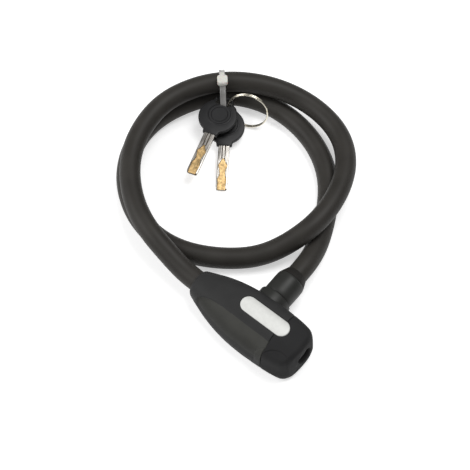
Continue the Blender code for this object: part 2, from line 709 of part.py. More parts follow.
MATERIALS = {
    "casing": ((0.035, 0.035, 0.04), 0.5, 0.0),
    "label": ((0.8, 0.8, 0.8), 0.4, 0.0),
    "sheath": ((0.045, 0.04, 0.035), 0.5, 0.0),
    "die_cast": ((0.55, 0.55, 0.56), 0.4, 1.0),
    "steel": ((0.62, 0.6, 0.57), 0.3, 1.0),
    "brass": ((0.75, 0.55, 0.25), 0.35, 1.0),
    "nylon": ((0.75, 0.74, 0.7), 0.45, 0.0),
}
MATERIAL_OF = {
    "upper_shell": "casing", "base_cover": "casing", "nose_cap": "casing", "socket_collar": "casing",
    "plug_sleeve": "casing", "plug_end_ring": "casing", "key_1_head": "casing", "key_2_head": "casing",
    "label_plate": "label", "cable": "sheath", "zip_tie": "nylon", "lock_body": "die_cast",
    "cylinder_housing": "brass", "key_rotor": "brass",
}


def build():
    clear_scene()
    pieces = make_casing() + [make_label(), make_lock_body(), make_collar()] + make_base_screws()
    pieces += make_anchor() + make_cylinder() + [make_cam(), make_latch()] + make_latch_cover()
    pieces += make_plug() + [make_cable(), make_tie()] + make_key(0) + make_key(1) + [make_ring()]
    collection = bpy.data.collections.new("cable_lock")
    bpy.context.scene.collection.children.link(collection)
    made = {name: material(name, *values) for name, values in MATERIALS.items()}
    for piece in pieces:
        bpy.context.scene.collection.objects.unlink(piece)
        collection.objects.link(piece)
        kind = MATERIAL_OF.get(piece.name)
        if kind is None:
            kind = "brass" if "key_pin" in piece.name or "driver_pin" in piece.name else "steel"
        piece.data.materials.clear()
        piece.data.materials.append(made[kind])
        if piece.type == "MESH":
            piece.data.shade_smooth()
            piece.data.set_sharp_from_angle(angle=math.radians(35))


build()
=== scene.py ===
"""Looks of the keyed cable lock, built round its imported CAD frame.

Shapes are drawn in millimetres and scaled to metres when their meshes are made.
+X runs along the lock head towards its key face, +Y is the way the plug pulls out, and +Z is up.
"""
import math
import bmesh
import bpy
from mathutils import Matrix, Vector


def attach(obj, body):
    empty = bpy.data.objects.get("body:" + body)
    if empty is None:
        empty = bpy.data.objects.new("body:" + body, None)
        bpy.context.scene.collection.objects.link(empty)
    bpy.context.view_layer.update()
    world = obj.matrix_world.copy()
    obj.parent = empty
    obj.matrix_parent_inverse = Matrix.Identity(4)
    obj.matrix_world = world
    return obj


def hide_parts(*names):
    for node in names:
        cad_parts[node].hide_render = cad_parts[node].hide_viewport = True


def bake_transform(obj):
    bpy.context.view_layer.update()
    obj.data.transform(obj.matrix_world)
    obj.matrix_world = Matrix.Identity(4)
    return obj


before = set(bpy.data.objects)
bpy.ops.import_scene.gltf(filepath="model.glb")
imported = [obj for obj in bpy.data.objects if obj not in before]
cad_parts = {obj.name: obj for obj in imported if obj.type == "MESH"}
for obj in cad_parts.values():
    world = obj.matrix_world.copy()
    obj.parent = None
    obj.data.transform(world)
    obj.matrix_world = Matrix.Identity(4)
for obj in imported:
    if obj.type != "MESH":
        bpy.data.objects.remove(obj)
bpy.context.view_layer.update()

MM = 0.001

# Camera: degrees, metres, and the lens in millimetres
VIEW_AZIMUTH = 39.3
VIEW_ELEVATION = 61.0
VIEW_DISTANCE = 0.745
VIEW_TARGET = Vector((-0.0535, 0.0485, 0.0))
LENS = 80.6
SENSOR_WIDTH = 36.0

# Floor, room and light panels: each panel's place from the view's target, size and power
FLOOR_HALF_SIZE = 6000.0
FLOOR_GREY = 0.75
FLOOR_ROUGHNESS = 0.9
FLOOR_GLOW = 0.5
ROOM_GLOW = 0.25
PANELS = (
    ("left_panel", (-0.65, -0.68, 0.80), 0.8, 10.0),
    ("top_panel", (0.17, 0.43, 1.21), 0.7, 10.8),
)

# Cable: the points that guide its route, in metres, from the head's tail to the plug
ROUTE = (
    (-0.0415, -0.0016, 0.0150), (-0.0570, -0.0016, 0.0151), (-0.0750, 0.0010, 0.0189),
    (-0.0925, 0.0036, 0.0229), (-0.1100, 0.0105, 0.0232), (-0.1260, 0.0215, 0.0232),
    (-0.1395, 0.0350, 0.0231), (-0.1496, 0.0517, 0.0231), (-0.1554, 0.0710, 0.0231),
    (-0.1567, 0.0911, 0.0233), (-0.1505, 0.1100, 0.0242), (-0.1390, 0.1275, 0.0255),
    (-0.1235, 0.1415, 0.0254), (-0.1040, 0.1535, 0.0234), (-0.0810, 0.1605, 0.0203),
    (-0.0569, 0.1596, 0.0189), (-0.0352, 0.1506, 0.0192), (-0.0191, 0.1326, 0.0208),
    (-0.0109, 0.1112, 0.0229), (-0.0075, 0.0899, 0.0240), (-0.0095, 0.0710, 0.0226),
    (-0.0175, 0.0538, 0.0148), (-0.0287, 0.0389, 0.0088), (-0.0480, 0.0231, 0.0076),
    (-0.0715, 0.0108, 0.0076), (-0.0970, 0.0080, 0.0076), (-0.1210, 0.0155, 0.0076),
    (-0.1415, 0.0305, 0.0076), (-0.1550, 0.0510, 0.0076), (-0.1605, 0.0750, 0.0076),
    (-0.1555, 0.1015, 0.0081), (-0.1380, 0.1315, 0.0100), (-0.1090, 0.1473, 0.0092),
    (-0.0790, 0.1495, 0.0076), (-0.0500, 0.1410, 0.0076), (-0.0270, 0.1240, 0.0076),
    (-0.0115, 0.1000, 0.0076), (-0.0008, 0.0760, 0.0080), (0.0036, 0.0575, 0.0139),
    (0.0038, 0.0425, 0.0150),
)
CABLE_D = 0.015
CABLE_SIDES = 32
CABLE_RING_EVERY = 0.0021

# Lock head, in millimetres
HEAD_MID_Y = -1.9
AXIS_Z = 15.0
TAIL_X = -44.5
NOSE_X = 44.5
SEAM_X = 24.0
BASE_Z = 6.5
GAP = 0.3
WALL = 2.4
EDGE_BEVEL = 0.22
TAIL_Y = -1.6
TAIL_BORE_R = 7.8
LOCK_Y = 1.2
PLUG_X = 3.8
COLLAR_HOLE_R = 12.2
LABEL_CENTRE = (10.0, 1.6)
LABEL_SIZE = (38.2, 11.6)
LABEL_FLOOR_Z = 28.8
# The first three casing screws hold the shell, and the last one holds the nose cap
SCREWS = ((-12.0, -12.5), (-12.5, 7.6), (17.0, -13.0), (32.5, -11.6))
# Lathe profiles: a place along the axis and a radius. The key opening's places start at the nose's end.
KEY_OPENING = ((-8, 5.9), (-2.3, 5.9), (-1.5, 6.15), (-0.8, 6.7), (0.4, 8.2))
SCREW_RECESS = ((-1, 3.2), (1.7, 3.1), (1.7, 1.8), (9.3, 1.8))
COLLAR_PROFILE = (
    (15.0, 10.9), (15.0, 11.9), (20.9, 11.95), (21.3, 11.8), (21.5, 11.4), (21.55, 11.0), (21.4, 10.75),
    (15.0, 10.75),
)
SLEEVE_PROFILE = (
    (22.0, 7.2), (22.0, 9.9), (22.15, 10.25), (22.5, 10.45), (26, 10.55), (34, 10.6), (36.8, 10.5),
    (38.0, 10.3), (38.35, 10.1), (38.4, 9.8), (38.4, 7.2),
)
END_RING_PROFILE = (
    (38.5, 7.58), (38.5, 9.85), (38.6, 10.0), (38.9, 10.0), (40.2, 9.5), (41.6, 8.95), (43.0, 8.35),
    (44.0, 7.95), (44.4, 7.75), (44.4, 7.6), (44.0, 7.58),
)
# The label's edge: how far in, and how high, its surface is
LABEL_EDGE = (
    (0.0, 28.95), (0.0, 29.55), (0.15, 29.78), (0.5, 29.92), (1.4, 30.06), (2.8, 30.19), (4.4, 30.25),
)

# Outer form of the head: x, width to the scooped near side, width to the far side, half height,
# and how square the section is on the scooped top corner and on its other corners
SHELL_FORM = (
    (TAIL_X, 8.4, 7.6, 8.5, 2.1, 2.1), (-44.2, 9.0, 8.3, 9.2, 2.1, 2.1),
    (-43.2, 10.0, 9.2, 10.1, 2.1, 2.2), (-40.5, 11.1, 10.2, 11.0, 2.1, 2.35),
    (-36.5, 12.5, 11.4, 12.0, 2.1, 2.6), (-27, 15.4, 14.3, 13.8, 2.2, 3.2),
    (-16, 17.8, 16.7, 14.8, 2.3, 3.8), (-4, 19.3, 18.3, 15.0, 2.4, 4.2),
    (8, 19.7, 18.9, 15.0, 2.5, 4.4), (16, 19.4, 19.0, 15.0, 2.6, 4.5),
    (20, 19.2, 18.8, 15.0, 2.9, 4.6), (SEAM_X, 18.9, 18.5, 15.0, 3.4, 4.6),
)
NOSE_FORM = (
    (SEAM_X, 19.0, 18.6, 15.0, 4.2, 4.6), (31, 18.2, 17.9, 15.0, 4.4, 4.8),
    (36.5, 17.2, 17.0, 15.0, 4.6, 4.8), (40.2, 16.2, 15.9, 14.95, 4.6, 4.6),
    (42.0, 15.2, 15.0, 14.6, 4.5, 4.4), (43.2, 14.0, 14.0, 13.9, 4.3, 4.1),
    (44.0, 12.8, 13.0, 13.1, 4.1, 3.9), (44.4, 11.9, 12.2, 12.4, 3.9, 3.7),
    (NOSE_X, 11.2, 11.5, 11.8, 3.7, 3.5),
)
FORM_POINTS = 720
RING_POINTS = 280
ROOM_POINTS = 60
SCOOP_DEPTH = 1.1
# The scoop's painted highlight, a lighter copy of the shell's plastic, is given to the faces above this
# height that are sunk by this share of its depth. Past this x it carries on to the seam.
SCOOP_HIGHLIGHT_Z = 15.5
SCOOP_HIGHLIGHT_SHARE = 0.45
SCOOP_HIGHLIGHT_X = 17.0
NOSE_STEP = 0.6


# ---------------------------------------------------------------- small helpers

def smoothstep(value, low, high):
    t = max(0.0, min(1.0, (value - low) / (high - low)))
    return t * t * (3 - 2 * t)


def smooth_curve(points, steps, cyclic=False):
    """A cubic B-spline whose control points are the given ones; it starts and ends on the first and last."""
    points = [Vector(p) for p in points]
    if cyclic:
        ring = [points[-1]] + points + points[:2]
    else:
        ring = [2 * points[0] - points[1]] + points + [2 * points[-1] - points[-2]]
    places = []
    for k in range(1, len(ring) - 2):
        a, b, c, d = ring[k - 1:k + 3]
        for step in range(steps):
            t = step / steps
            places.append(((1 - t) ** 3 * a + (3 * t ** 3 - 6 * t * t + 4) * b
                           + (-3 * t ** 3 + 3 * t * t + 3 * t + 1) * c + t ** 3 * d) / 6)
    if not cyclic:
        places.append(points[-1])
    return places


def even_points(places, spacing, cyclic=False):
    """Points at equal distances along a finely divided curve."""
    if cyclic:
        places = places + [places[0]]
    lengths = [0.0]
    for a, b in zip(places, places[1:]):
        lengths.append(lengths[-1] + (b - a).length)
    count = max(2, round(lengths[-1] / spacing))
    chosen = []
    k = 0
    for step in range(count if cyclic else count + 1):
        wanted = lengths[-1] * step / count
        while k < len(lengths) - 2 and lengths[k + 1] < wanted:
            k += 1
        share = (wanted - lengths[k]) / (lengths[k + 1] - lengths[k])
        chosen.append(places[k].lerp(places[k + 1], share))
    return chosen


def link(name, mesh):
    piece = bpy.data.objects.new(name, mesh)
    bpy.context.scene.collection.objects.link(piece)
    return piece


def from_bmesh(name, shape, scale=MM):
    """An object from a bmesh, with its faces turned outward."""
    bmesh.ops.recalc_face_normals(shape, faces=shape.faces)
    if shape.calc_volume(signed=True) < 0:
        bmesh.ops.reverse_faces(shape, faces=shape.faces)
    bmesh.ops.scale(shape, vec=(scale,) * 3, verts=shape.verts)
    mesh = bpy.data.meshes.new(name)
    shape.to_mesh(mesh)
    shape.free()
    return link(name, mesh)


def bake(piece):
    """Applies the modifiers, so the piece is a plain mesh."""
    graph = bpy.context.evaluated_depsgraph_get()
    mesh = bpy.data.meshes.new_from_object(piece.evaluated_get(graph))
    old = piece.data
    piece.modifiers.clear()
    piece.data = mesh
    mesh.name = piece.name
    bpy.data.meshes.remove(old)
    return piece


def combine(piece, tool, operation):
    """Joins or subtracts a tool, and removes the tool."""
    change = piece.modifiers.new(operation, "BOOLEAN")
    change.operation = operation
    change.solver = "EXACT"
    change.object = tool
    bpy.context.view_layer.update()
    bake(piece)
    bpy.data.objects.remove(tool)


def cut(piece, *tools):
    for tool in tools:
        combine(piece, tool, "DIFFERENCE")


def slice_body(piece, height, keep_above):
    """Keeps the part of a closed body above or below a height in millimetres, and closes the cut."""
    shape = bmesh.new()
    shape.from_mesh(piece.data)
    parts = shape.verts[:] + shape.edges[:] + shape.faces[:]
    away = Vector((0, 0, -1 if keep_above else 1))
    bmesh.ops.bisect_plane(shape, geom=parts, plane_co=(0, 0, height * MM), plane_no=away,
                           clear_outer=True, dist=1e-7)
    rim = [edge for edge in shape.edges if edge.is_boundary]
    bmesh.ops.triangle_fill(shape, edges=rim, use_beauty=True)
    bmesh.ops.recalc_face_normals(shape, faces=shape.faces)
    shape.to_mesh(piece.data)
    shape.free()


def bevel(piece, width, angle=40.0, segments=2):
    """Rounds the edges that are sharper than an angle; the width is in millimetres."""
    change = piece.modifiers.new("edges", "BEVEL")
    change.width = width * MM
    change.segments = segments
    change.limit_method = "ANGLE"
    change.angle_limit = math.radians(angle)
    change.harden_normals = False
    bpy.context.view_layer.update()
    return bake(piece)


def smooth(piece, angle=35.0):
    """Shades the piece smooth, apart from edges that are sharper than an angle."""
    piece.data.shade_smooth()
    piece.data.set_sharp_from_angle(angle=math.radians(angle))
    return piece


def box(name, low, high):
    shape = bmesh.new()
    bmesh.ops.create_cube(shape, size=1.0)
    for vertex in shape.verts:
        vertex.co = Vector([lo + (hi - lo) * (c + 0.5) for lo, hi, c in zip(low, high, vertex.co)])
    return from_bmesh(name, shape)


def grid_body(rows, closed_rows=False, uv=None):
    """A bmesh of rows of points that run round a body, capped at both ends unless the rows close.

    With uv, a pair of sizes, the map runs once round by the first and from row to row by the second.
    """
    shape = bmesh.new()
    layer = shape.loops.layers.uv.new("UVMap") if uv else None
    made = [[shape.verts.new(p) for p in row] for row in rows]
    count = len(rows[0])
    pairs = list(zip(made, made[1:]))
    if closed_rows:
        pairs.append((made[-1], made[0]))
    for index, (low, high) in enumerate(pairs):
        for k in range(count):
            n = (k + 1) % count
            face = shape.faces.new((low[k], low[n], high[n], high[k]))
            if layer:
                corners = ((k, index), (k + 1, index), (k + 1, index + 1), (k, index + 1))
                for loop, (u, v) in zip(face.loops, corners):
                    loop[layer].uv = (u / count * uv[0], v * uv[1])
    if not closed_rows:
        shape.faces.new(list(reversed(made[0])))
        shape.faces.new(made[-1])
    return shape


def turned(name, profile, axis, centre, segments=64, closed_ends=True):
    """A lathe body: profile is (place along the axis, radius) in millimetres."""
    centre = Vector(centre)
    basis = [Vector((1, 0, 0)), Vector((0, 1, 0)), Vector((0, 0, 1))]
    first = "XYZ".index(axis)
    along, side, other = basis[first:] + basis[:first]
    rows = []
    for place, radius in profile:
        rows.append([centre + along * place + radius * (math.cos(a) * side + math.sin(a) * other)
                     for a in (2 * math.pi * k / segments for k in range(segments))])
    return from_bmesh(name, grid_body(rows, closed_rows=not closed_ends))


def rod(name, axis, start, end, radius, centre, segments=48):
    """A plain round bar between two places along its axis."""
    return turned(name, [(start, radius), (end, radius)], axis, centre, segments)


def extruded(name, outline, low, high):
    """A plate from an outline of (x, y) points between two heights."""
    rows = [[(x, y, z) for x, y in outline] for z in (low, high)]
    return from_bmesh(name, grid_body(rows))


def arc(centre, radius, first, last, steps):
    """Points along an arc between two angles in degrees."""
    angles = [math.radians(first + (last - first) * k / steps) for k in range(steps + 1)]
    return [(centre[0] + radius * math.cos(a), centre[1] + radius * math.sin(a)) for a in angles]


def stadium(centre, length, width, steps=20):
    """Outline of a bar with round ends that lies along x."""
    half = (length - width) / 2
    right = arc((centre[0] + half, centre[1]), width / 2, -90, 90, steps)
    left = arc((centre[0] - half, centre[1]), width / 2, 90, 270, steps)
    return right + left


# ---------------------------------------------------------------- materials

def material(name, colour, roughness, metallic=0.0, grain=0.0, grain_size=0.3, mottle=0.1,
             mottle_size=12.0, rough_spread=0.08, stretch=(1, 1, 1), use_uv=False, fade=None,
             **shader_values):
    """A moulded, drawn or milled finish: mottled colour, uneven gloss and a fine bump.

    Sizes are in millimetres. A fade is painted shade: an axis, a low and a high place on it in metres,
    and the share of the colour at each, so the colour grows darker or lighter along that axis.
    """
    made = bpy.data.materials.new(name)
    made.use_nodes = True
    nodes, links = made.node_tree.nodes, made.node_tree.links
    shader = nodes["Principled BSDF"]
    shader.inputs["Metallic"].default_value = metallic
    for key, value in shader_values.items():
        shader.inputs[key.replace("_", " ")].default_value = value
    place = nodes.new("ShaderNodeTexCoord")
    spread = nodes.new("ShaderNodeMapping")
    spread.inputs["Scale"].default_value = stretch
    links.new(place.outputs["UV" if use_uv else "Object"], spread.inputs["Vector"])
    blotches = nodes.new("ShaderNodeTexNoise")
    blotches.inputs["Scale"].default_value = 1 / (mottle_size * MM)
    blotches.inputs["Detail"].default_value = 4.0
    links.new(spread.outputs["Vector"], blotches.inputs["Vector"])
    ramp = nodes.new("ShaderNodeValToRGB")
    ramp.color_ramp.elements[0].position = 0.3
    ramp.color_ramp.elements[1].position = 0.7
    ramp.color_ramp.elements[0].color = [c * (1 - mottle) for c in colour] + [1]
    ramp.color_ramp.elements[1].color = [min(1.0, c * (1 + mottle)) for c in colour] + [1]
    links.new(blotches.outputs["Fac"], ramp.inputs["Fac"])
    links.new(ramp.outputs["Color"], shader.inputs["Base Color"])
    # Painted shade: the fade scales the colour along one axis
    if fade:
        parts = nodes.new("ShaderNodeSeparateXYZ")
        links.new(place.outputs["Object"], parts.inputs["Vector"])
        share = nodes.new("ShaderNodeMapRange")
        for socket, value in zip(("From Min", "From Max", "To Min", "To Max"), fade[1:]):
            share.inputs[socket].default_value = value
        links.new(parts.outputs[fade[0]], share.inputs["Value"])
        shade_scale = nodes.new("ShaderNodeVectorMath")
        shade_scale.operation = "SCALE"
        links.new(ramp.outputs["Color"], shade_scale.inputs[0])
        links.new(share.outputs["Result"], shade_scale.inputs["Scale"])
        links.new(shade_scale.outputs["Vector"], shader.inputs["Base Color"])
    gloss = nodes.new("ShaderNodeMapRange")
    gloss.inputs["To Min"].default_value = max(0.02, roughness - rough_spread)
    gloss.inputs["To Max"].default_value = min(1.0, roughness + rough_spread)
    links.new(blotches.outputs["Fac"], gloss.inputs["Value"])
    links.new(gloss.outputs["Result"], shader.inputs["Roughness"])
    if grain:
        fine = nodes.new("ShaderNodeTexNoise")
        fine.inputs["Scale"].default_value = 1 / (grain_size * MM)
        fine.inputs["Detail"].default_value = 3.0
        links.new(spread.outputs["Vector"], fine.inputs["Vector"])
        bump = nodes.new("ShaderNodeBump")
        bump.inputs["Strength"].default_value = grain
        bump.inputs["Distance"].default_value = 0.1 * MM
        links.new(fine.outputs["Fac"], bump.inputs["Height"])
        links.new(bump.outputs["Normal"], shader.inputs["Normal"])
    return made


# Painted shade: the shell's colour darkens to 0.68 of itself towards its underside
SHELL_SHADED = material("shell_plastic", (0.0260, 0.0261, 0.0261), 0.56, grain=0.3, grain_size=0.45,
                 fade=("Z", 0.009, 0.022, 0.68, 1.0), Specular_IOR_Level=0.12)
# Painted highlight: a lighter copy of the shell's plastic for the scoop, with painted shade lower down
SCOOP_HIGHLIGHT_PLASTIC = material("scoop_painted_highlight", (0.0405, 0.0405, 0.0368), 0.6, grain=0.3, grain_size=0.45,
                         fade=("Z", 0.016, 0.0275, 0.45, 1.08), Specular_IOR_Level=0.12)
# Painted shade: a darker copy of the shell's plastic for the nose cap, darker still towards its underside
NOSE_SHADED_PLASTIC = material("nose_plastic_painted_shade", (0.0215, 0.0216, 0.0221), 0.62, grain=0.3, grain_size=0.45,
                        fade=("Z", 0.010, 0.026, 0.66, 1.0), Specular_IOR_Level=0.06)
SMOOTH_PLASTIC = material("collar_plastic", (0.0205, 0.0210, 0.0192), 0.44, grain=0.15, grain_size=0.5,
                          Specular_IOR_Level=0.25)
# Painted shade: a darker copy of the sleeve's plastic for the plug's rounded end ring
END_RING_SHADED_PLASTIC = material("plug_end_plastic_painted_shade", (0.0150, 0.0138, 0.0125), 0.6, grain=0.2, grain_size=0.5,
                       Specular_IOR_Level=0.15)
KEY_PLASTIC = material("key_plastic", (0.0110, 0.0110, 0.0118), 0.45, grain=0.3, grain_size=0.4,
                       Specular_IOR_Level=0.3)
SHEATH = material("cable_sheath", (0.0285, 0.0262, 0.0232), 0.5, grain=0.2, grain_size=0.6,
                  mottle=0.14, mottle_size=18, Specular_IOR_Level=0.18)
# Painted shade: the label's colour darkens to 0.8 of itself towards its +Y long edge
LABEL_SHADED = material("label_white", (0.63, 0.635, 0.61), 0.4, grain=0.1, mottle=0.05, mottle_size=3.0,
                 fade=("Y", 0.0025, 0.0076, 1.0, 0.8))
NYLON = material("tie_nylon", (0.56, 0.55, 0.51), 0.42, grain=1.0, grain_size=0.8, mottle=0.08,
                 mottle_size=1.2, Subsurface_Weight=0.15, Subsurface_Scale=0.002)
STRAP_NYLON = material("tie_strap_nylon", (0.36, 0.355, 0.345), 0.36, grain=0.3, grain_size=0.8, mottle=0.08,
                       mottle_size=2.0)
NICKEL = material("key_steel", (0.50, 0.475, 0.44), 0.3, metallic=1.0, grain=0.3, grain_size=0.35,
                  mottle=0.35, mottle_size=0.9, stretch=(0.12, 1, 1), use_uv=True)
# Painted shade: a dark brown finish for the blade's grooves and the track's walls
GROOVE_SHADE_STEEL = material("key_groove_painted_shade", (0.055, 0.040, 0.026), 0.6, metallic=0.4, grain=0.2, mottle=0.2,
                        mottle_size=1.0)
GOLD = material("key_track", (0.55, 0.38, 0.18), 0.42, metallic=1.0, grain=0.6, grain_size=0.7,
                mottle=0.5, mottle_size=2.2)
RING_STEEL = material("ring_steel", (0.70, 0.66, 0.56), 0.24, metallic=1.0, mottle=0.1, mottle_size=3)
# Painted shade: the key rotor is painted black for the shade inside the key opening
ROTOR_SHADE_BLACK = material("rotor_painted_shade", (0.02, 0.02, 0.02), 0.5, metallic=0.3, grain=0.3, mottle=0.2)
BRASS = material("lock_brass", (0.62, 0.47, 0.24), 0.32, metallic=1.0, grain=0.2, mottle=0.12)
STEEL = material("lock_steel", (0.52, 0.52, 0.52), 0.3, metallic=1.0, grain=0.2, mottle=0.1)
DARK_STEEL = material("screw_steel", (0.3, 0.3, 0.31), 0.35, metallic=1.0, grain=0.2, mottle=0.1)
CASTING = material("die_cast", (0.42, 0.42, 0.43), 0.5, metallic=1.0, grain=0.5, mottle=0.12)
ROPE = material("rope_steel", (0.45, 0.45, 0.45), 0.4, metallic=1.0, grain=0.6, grain_size=0.8)


def finish_with(piece, finish, slot, body, *nodes):
    """Gives a piece its material and body, and the CAD nodes that it stands for; the slot is not used."""
    piece.data.materials.clear()
    piece.data.materials.append(finish)
    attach(piece, body)
    if nodes:
        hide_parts(*nodes)


# ---------------------------------------------------------------- camera, floor and light

def make_camera():
    """A long lens that looks down on the coil."""
    azimuth, elevation = math.radians(VIEW_AZIMUTH), math.radians(VIEW_ELEVATION)
    back = Vector((math.sin(azimuth) * math.cos(elevation), -math.cos(azimuth) * math.cos(elevation),
                   math.sin(elevation)))
    data = bpy.data.cameras.new("camera")
    data.lens = LENS
    data.sensor_width = SENSOR_WIDTH
    camera = bpy.data.objects.new("camera", data)
    bpy.context.scene.collection.objects.link(camera)
    camera.location = VIEW_TARGET + VIEW_DISTANCE * back
    camera.rotation_mode = "QUATERNION"
    camera.rotation_quaternion = (-back).to_track_quat("-Z", "Y")
    bpy.context.scene.camera = camera


def make_studio():
    """A pale floor that glows faintly, under soft light from two panels and a bright room."""
    bpy.context.scene.view_settings.view_transform = "Standard"
    shape = bmesh.new()
    bmesh.ops.create_grid(shape, x_segments=1, y_segments=1, size=FLOOR_HALF_SIZE)
    floor = from_bmesh("floor", shape)
    floor.location = VIEW_TARGET
    paint = bpy.data.materials.new("floor_paper")
    paint.use_nodes = True
    shader = paint.node_tree.nodes["Principled BSDF"]
    shader.inputs["Base Color"].default_value = (FLOOR_GREY, FLOOR_GREY, FLOOR_GREY, 1)
    shader.inputs["Roughness"].default_value = FLOOR_ROUGHNESS
    shader.inputs["Emission Color"].default_value = (1, 1, 1, 1)
    shader.inputs["Emission Strength"].default_value = FLOOR_GLOW
    floor.data.materials.append(paint)
    world = bpy.data.worlds.new("room")
    bpy.context.scene.world = world
    world.use_nodes = True
    background = world.node_tree.nodes["Background"]
    background.inputs["Color"].default_value = (1, 1, 1, 1)
    background.inputs["Strength"].default_value = ROOM_GLOW
    for name, place, size, power in PANELS:
        light = bpy.data.lights.new(name, "AREA")
        light.shape = "SQUARE"
        light.size = size
        light.energy = power
        lamp = bpy.data.objects.new(name, light)
        bpy.context.scene.collection.objects.link(lamp)
        lamp.location = VIEW_TARGET + Vector(place)
        lamp.rotation_mode = "QUATERNION"
        lamp.rotation_quaternion = (VIEW_TARGET - lamp.location).to_track_quat("-Z", "Y")


# ---------------------------------------------------------------- cable

def tube_rows(centreline, radius, sides):
    """Rings of points along a line, turned as little as possible from one to the next."""
    rows = []
    side = None
    for k, place in enumerate(centreline):
        ahead = centreline[min(k + 1, len(centreline) - 1)] - centreline[max(k - 1, 0)]
        ahead.normalize()
        if side is None:
            side = ahead.cross(Vector((0, 0, 1))).normalized()
        side = (side - ahead * side.dot(ahead)).normalized()
        other = ahead.cross(side)
        rows.append([place + radius * (math.cos(a) * side + math.sin(a) * other)
                     for a in (2 * math.pi * n / sides for n in range(sides))])
    return rows


def make_cable():
    """The sheathed cable as one tube, and the line that runs through its middle."""
    centreline = even_points(smooth_curve(ROUTE, 24), CABLE_RING_EVERY)
    rows = tube_rows(centreline, CABLE_D / 2, CABLE_SIDES)
    shape = grid_body(rows, uv=(math.pi * CABLE_D, CABLE_RING_EVERY))
    cable = smooth(from_bmesh("sheathed_cable", shape, 1.0))
    cable.data.materials.append(SHEATH)
    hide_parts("cable")
    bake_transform(cable)
    return cable, centreline


# ---------------------------------------------------------------- lock head

def head_form(form, x):
    """The form's widths, half height and squareness values at x, on a smooth curve through its rows."""
    for k in range(len(form) - 1):
        if form[k][0] <= x <= form[k + 1][0] or x < form[0][0]:
            break
    a, b = form[k], form[k + 1]
    before = form[max(k - 1, 0)]
    after = form[min(k + 2, len(form) - 1)]
    span = b[0] - a[0]
    t = (x - a[0]) / span
    values = []
    for n in range(1, len(a)):
        slope = (b[n] - a[n]) / span
        start = slope if k == 0 else (b[n] - before[n]) / (b[0] - before[0])
        end = slope if k == len(form) - 2 else (after[n] - a[n]) / (after[0] - a[0])
        values.append((2 * t ** 3 - 3 * t * t + 1) * a[n] + (t ** 3 - 2 * t * t + t) * span * start
                      + (-2 * t ** 3 + 3 * t * t) * b[n] + (t ** 3 - t * t) * span * end)
    return values


def scoop(x, y, z):
    """How far the long finger scoop is sunk at a point of the shell's near, upper side."""
    # Degrees up round the section from its near side, how far up the scoop reaches, and how softly it ends
    rise = math.degrees(math.atan2(z - AXIS_Z, HEAD_MID_Y - y))
    reach = 70 * max(0.0, min(1.0, (x + 37) / 22)) ** 0.3
    fade = 5 + 21 * smoothstep(x, -31, -12)
    # Its steep end towards the nose leans forward as it rises
    right = 19.5 + 0.0035 * max(0.0, rise - 22) ** 2.3
    return (SCOOP_DEPTH * smoothstep(reach - rise, 0.0, fade) * smoothstep(right - x, 0.0, 0.9)
            * smoothstep(rise + 14, 0.0, 20.0) * smoothstep(x, -36.5, -33))


def nose_side(x, y, z):
    """How far the nose's near side is sunk below the curved edge of its top."""
    edge = -11.4 - 0.075 * max(0.0, 34 - x) ** 2 - 0.1 * max(0.0, x - 38.5) ** 2
    return NOSE_STEP * smoothstep(edge - y, 0.0, 0.8) * smoothstep(z, 9, 24)


def head_section(form, x, inset, hollow, count=RING_POINTS):
    """One closed cross-section of the head, with its points evenly spaced."""
    near_width, far_width, half_height, scoop_power, square = head_form(form, x)
    half_height -= inset
    raw = []
    for k in range(FORM_POINTS):
        angle = 2 * math.pi * (k + 0.5) / FORM_POINTS
        side, rise = math.cos(angle), math.sin(angle)
        width = (near_width if side < 0 else far_width) - inset
        power = scoop_power if side < 0 < rise else square
        y = HEAD_MID_Y + width * math.copysign(abs(side) ** (2 / power), side)
        z = half_height * math.copysign(abs(rise) ** (2 / power), rise)
        if rise < 0:
            # The underside is a little flatter than the top
            z = max(z * 1.04, -half_height)
        raw.append(Vector((0, y, AXIS_Z + z)))
    total = sum((b - a).length for a, b in zip(raw, raw[1:] + raw[:1]))
    points = even_points(raw, total / count, cyclic=True)
    row = []
    for p in points:
        inward = Vector((0, HEAD_MID_Y - p.y, AXIS_Z - p.z)).normalized()
        p = p + inward * (hollow(x, p.y, p.z) if hollow else 0.0)
        # The seam bows back across the top, and the nose's end leans back as it rises and towards its sides
        near_seam = 1 - smoothstep(abs(x - SEAM_X), 0.0, 7.0)
        bow = -1.5 * math.exp(-((p.y + 5) / 8) ** 2) * smoothstep(p.z, 24, 30) * near_seam
        lean = smoothstep(x, 36, NOSE_X) * (0.085 * max(0.0, p.z - 10) + 0.0055 * (p.y - 1) ** 2)
        row.append(Vector((x + bow - lean, p.y, p.z)))
    return row


def section_places(start, end, step, near=()):
    """Places from start to end, closer together near the given ones."""
    places = {start, end}
    count = max(2, round((end - start) / step))
    places.update(start + (end - start) * k / count for k in range(1, count))
    for centre in near:
        for offset in (0.12, 0.3, 0.55, 0.9):
            for place in (centre - offset, centre + offset):
                if start < place < end:
                    places.add(place)
    return sorted(places)


def head_body(name, form, start, end, step, inset=0.0, hollow=None, soft_edges=(), count=RING_POINTS):
    """A closed body of the head's form; at each soft edge its surface turns in over half a millimetre."""
    rows = []
    for x in section_places(start, end, step, soft_edges):
        turn_in = 0.0
        for edge in soft_edges:
            turn_in += 0.28 * max(0.0, 1 - abs(x - edge) / 0.55) ** 2
        rows.append(head_section(form, x, inset + turn_in, hollow, count))
    return from_bmesh(name, grid_body(rows))


